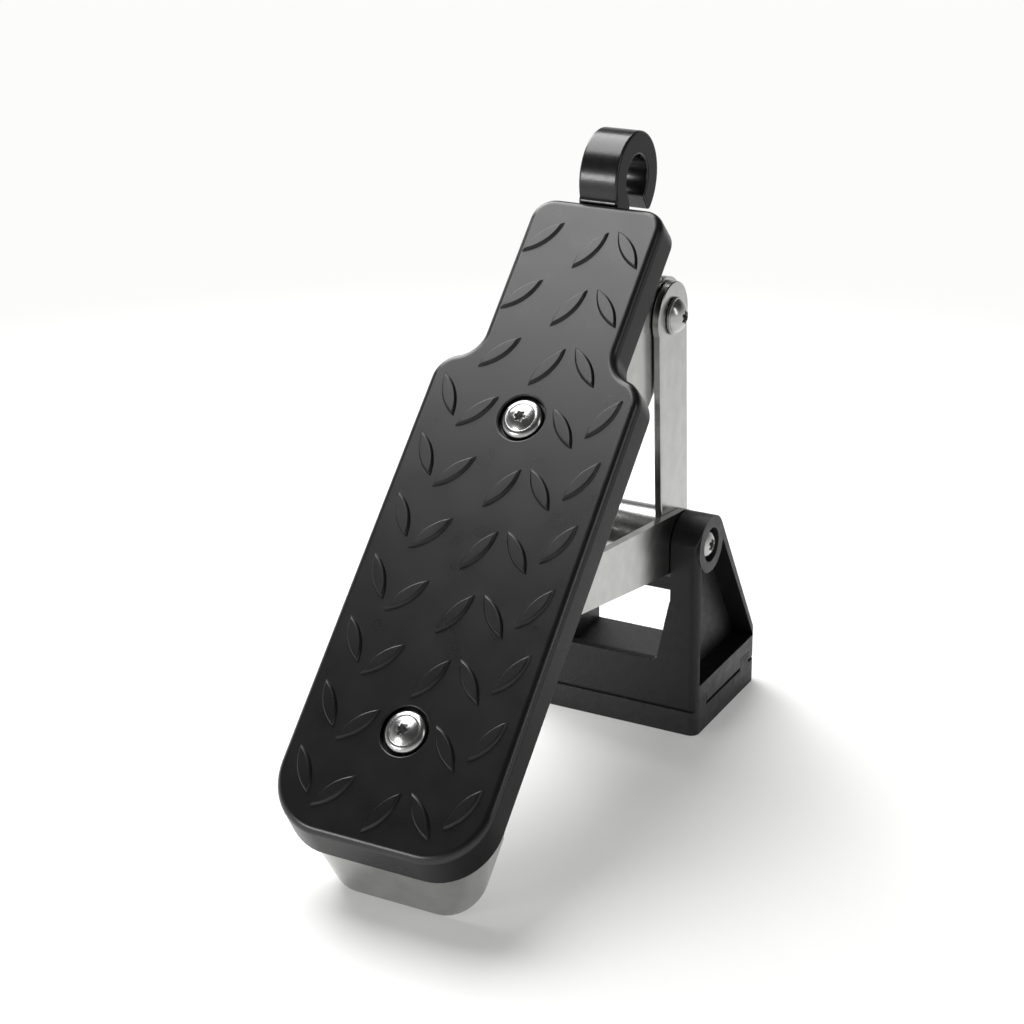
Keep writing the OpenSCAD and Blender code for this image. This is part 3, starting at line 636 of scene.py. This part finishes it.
def floor():
    """Pale floor that fills the view and keeps the soft shadow of the step."""
    bm = bmesh.new()
    bmesh.ops.create_grid(bm, x_segments=2, y_segments=2, size=6)
    plane = to_object(bm, "studio_floor")
    material = bpy.data.materials.new("studio_floor")
    material.use_nodes = True
    tree = material.node_tree
    tree.nodes.clear()
    rays = add_node(tree, "ShaderNodeLightPath")
    seen = add_node(tree, "ShaderNodeMath", {"operation": "ADD"},
                    {0: rays.outputs["Is Camera Ray"], 1: rays.outputs["Is Glossy Ray"]})
    seen = add_node(tree, "ShaderNodeMath", {"operation": "ADD", "use_clamp": True},
                    {0: seen.outputs[0], 1: rays.outputs["Is Transmission Ray"]})
    place = add_node(tree, "ShaderNodeTexCoord").outputs["Object"]
    reach = add_node(tree, "ShaderNodeVectorMath", {"operation": "LENGTH"}, {0: place})
    fade = add_node(tree, "ShaderNodeMapRange", {"interpolation_type": "SMOOTHSTEP"},
                    {"Value": reach.outputs["Value"], "From Min": 0.22, "From Max": 0.6,
                     "To Min": 0.2, "To Max": 1.0})
    share = add_node(tree, "ShaderNodeMath", {"operation": "MULTIPLY"},
                     {0: seen.outputs[0], 1: fade.outputs["Result"]})
    paper = add_node(tree, "ShaderNodeBsdfDiffuse", inputs={"Color": colour("#f2f2f1")})
    glow = add_node(tree, "ShaderNodeEmission", inputs={"Color": colour("#fcfcfb")})
    mixed = add_node(tree, "ShaderNodeMixShader",
                     inputs={0: share.outputs[0], 1: paper.outputs[0], 2: glow.outputs[0]})
    add_node(tree, "ShaderNodeOutputMaterial", inputs={"Surface": mixed.outputs[0]})
    plane.data.materials.append(material)


def room():
    """Studio air: white for the camera, pale low down and dark overhead for the reflections."""
    world = bpy.data.worlds.new("studio_room")
    bpy.context.scene.world = world
    world.use_nodes = True
    tree = world.node_tree
    tree.nodes.clear()
    rays = add_node(tree, "ShaderNodeLightPath")
    way = add_node(tree, "ShaderNodeTexCoord")
    height = add_node(tree, "ShaderNodeSeparateXYZ", inputs={"Vector": way.outputs["Generated"]})
    ramp = add_node(tree, "ShaderNodeValToRGB", inputs={"Fac": height.outputs["Z"]})
    ramp.color_ramp.elements[0].position = 0.05
    ramp.color_ramp.elements[0].color = colour("#e6e6e6")
    ramp.color_ramp.elements[1].position = 0.45
    ramp.color_ramp.elements[1].color = colour("#454545")
    soft = add_node(tree, "ShaderNodeMix", {"data_type": "RGBA"},
                    {"Factor": rays.outputs["Is Glossy Ray"]})
    soft.inputs[6].default_value = colour("#8c8c8c")
    tree.links.new(ramp.outputs["Color"], soft.inputs[7])
    shown = add_node(tree, "ShaderNodeMix", {"data_type": "RGBA"},
                     {"Factor": rays.outputs["Is Camera Ray"]})
    tree.links.new(soft.outputs[2], shown.inputs[6])
    shown.inputs[7].default_value = colour("#fcfcfb")
    back = add_node(tree, "ShaderNodeBackground", inputs={"Color": shown.outputs[2]})
    add_node(tree, "ShaderNodeOutputWorld", inputs={"Surface": back.outputs[0]})


def soft_light(name, place, aim, size, power):
    """A rectangular soft light at a place in metres, turned to its aim."""
    lamp = bpy.data.lights.new(name, "AREA")
    lamp.shape = "RECTANGLE"
    lamp.size, lamp.size_y = size
    lamp.energy = power
    light = bpy.data.objects.new(name, lamp)
    light.location = place
    light.rotation_mode = "QUATERNION"
    light.rotation_quaternion = (Vector(aim) - Vector(place)).to_track_quat("-Z", "Y")
    bpy.context.scene.collection.objects.link(light)


def lights():
    """Overhead softbox for the sheen of the neck, and three smaller ones for lines on the edges."""
    soft_light("overhead", (-0.50, 0.28, 1.10), (-0.50, 0.281, 0.0), (0.9, 1.22), 22.0)
    soft_light("left_back", (-0.95, 0.60, 0.82), (0, 0, 0.1), (0.6, 0.45), 7.0)
    soft_light("front_left", (-0.90, -1.55, 0.40), (0, 0, 0.1), (0.6, 0.34), 9.0)
    soft_light("right_strip", (1.00, -0.10, 0.65), (0, 0, 0.1), (0.12, 0.6), 1.2)


def camera():
    """Camera at the photograph's viewing angle."""
    turn, rise, roll = (math.radians(a)
                        for a in (CAMERA_TURN_DEG, CAMERA_RISE_DEG, CAMERA_ROLL_DEG))
    level = math.cos(rise)
    back = Vector((math.sin(turn) * level, -math.cos(turn) * level, math.sin(rise)))
    right = Vector((math.cos(turn), math.sin(turn), 0))
    up = back.cross(right)
    across = right * math.cos(roll) + up * math.sin(roll)
    upright = up * math.cos(roll) - right * math.sin(roll)
    eye = bpy.data.cameras.new("photo_camera")
    eye.lens = LENS_MM
    eye.sensor_width = 36
    eye.clip_start = 0.05
    eye.clip_end = 30
    place = Matrix((across, upright, back)).transposed().to_4x4()
    place.translation = Vector(CAMERA_MM) * MM
    seat = bpy.data.objects.new("photo_camera", eye)
    seat.matrix_world = place
    bpy.context.scene.collection.objects.link(seat)
    bpy.context.scene.camera = seat


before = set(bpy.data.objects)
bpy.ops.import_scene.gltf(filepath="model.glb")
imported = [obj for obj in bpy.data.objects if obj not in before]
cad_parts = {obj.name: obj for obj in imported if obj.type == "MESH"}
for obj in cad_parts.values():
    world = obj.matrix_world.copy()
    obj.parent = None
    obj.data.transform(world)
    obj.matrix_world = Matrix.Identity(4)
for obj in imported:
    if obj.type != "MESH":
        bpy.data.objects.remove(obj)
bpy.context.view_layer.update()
PEDAL = pedal_matrix(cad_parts)
bpy.context.scene.view_settings.view_transform = "Standard"

camera()
room()
floor()
lights()

FINISHES = {
    "pad_plastic": moulded_abs(),
    "foot_plastic": moulded_nylon(),
    "black_enamel": satin_enamel(),
    "satin_steel": tumbled_steel(),
    "bright_steel": polished_steel(),
    "sole_rubber": sole_rubber(),
}
tread_pad(FINISHES["pad_plastic"])
hook(FINISHES["black_enamel"])
foot_bracket(FINISHES["foot_plastic"])
hinge_channel(FINISHES["satin_steel"])
rounded_pieces(FINISHES)
